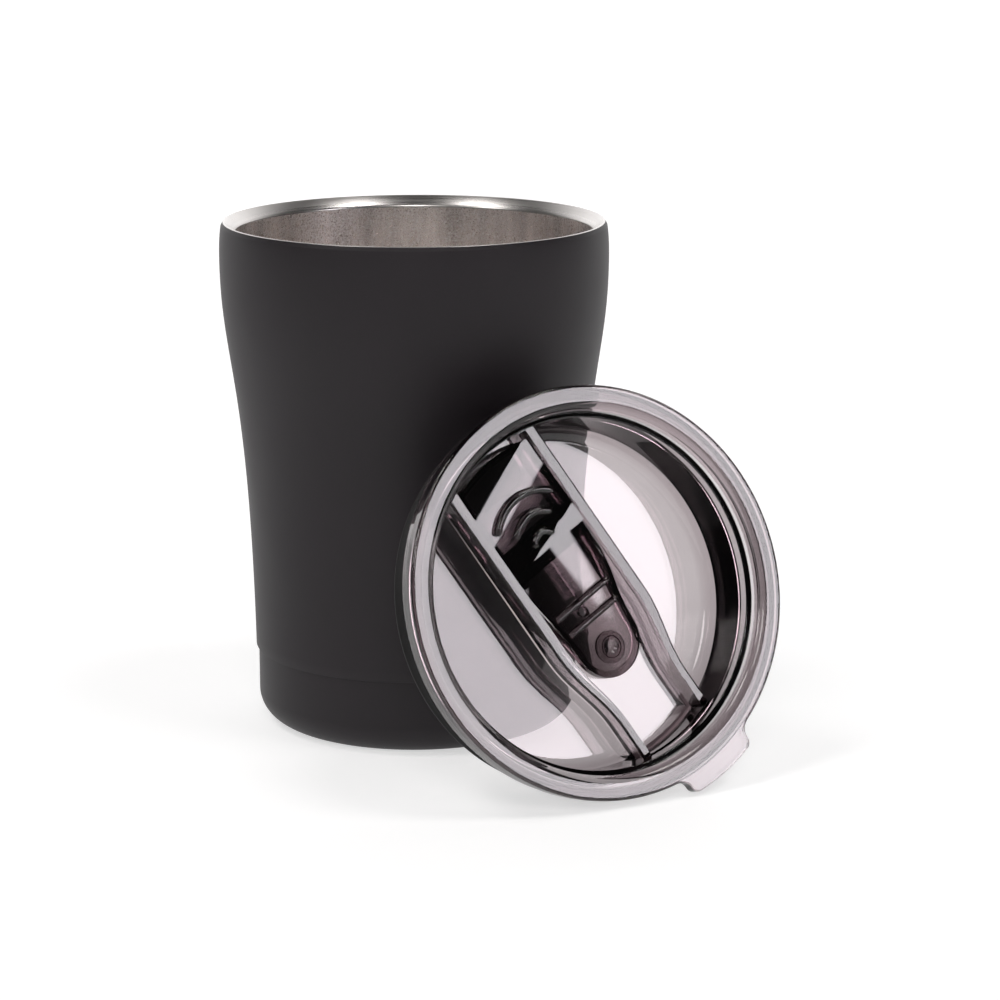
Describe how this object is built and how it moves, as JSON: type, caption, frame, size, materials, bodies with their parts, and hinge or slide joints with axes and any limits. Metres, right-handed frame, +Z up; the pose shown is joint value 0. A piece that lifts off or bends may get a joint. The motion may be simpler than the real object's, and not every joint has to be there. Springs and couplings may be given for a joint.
{
  "type": "insulated travel mug",
  "caption": "Short flared double-wall travel mug with a clear smoke slider lid leaning against it.",
  "frame": {"origin": "centre of the cup's base, on the cup's axis, at the height of the table", "axes": "+Z up along the cup's axis, out of the mouth; -Y towards the viewer; +X to the viewer's right, where the lid leans"},
  "size_m": [0.1231, 0.127, 0.115],
  "materials": {
    "powder_coat": "satin black powder coat with a fine grain",
    "blasted_steel": "bead-blasted stainless steel, warm grey, matt",
    "polished_steel": "ground and polished weld ring",
    "plain_steel": "mill finish",
    "brushed_steel_cap": "turned stainless steel",
    "sealing_glass": "dark sealing glass",
    "getter_alloy": "pressed getter powder",
    "copper": "thin copper foil",
    "smoke_clear": "clear smoke-grey copolyester, polished",
    "smoke_dark": "darker smoke-grey copolyester, polished",
    "black_silicone": "black silicone, satin"
  },
  "bodies": {
    "cup": {"outer_shell": "powder_coat", "base_cup": "powder_coat", "inner_liner": "blasted_steel", "liner_floor": "blasted_steel", "rim_weld": "polished_steel", "vacuum_plate": "plain_steel", "seal_plug": "sealing_glass", "bottom_cap": "brushed_steel_cap", "getter": "getter_alloy", "getter_clip": "plain_steel", "copper_foil": "copper"},
    "lid": {"lid_body": "smoke_clear", "lid_gasket": "black_silicone"},
    "slider": {"slider": "smoke_dark"}
  },
  "joints": [
    {"name": "lid_lift", "type": "slide", "parent": "cup", "child": "lid", "axis": [0.4226, -0.8514, 0.3107], "range_m": [0, 0.12]},
    {"name": "slider_slide", "type": "slide", "parent": "lid", "child": "slider", "axis": [0.5613, -0.0233, -0.8273], "range_m": [0, 0.013]}
  ]
}
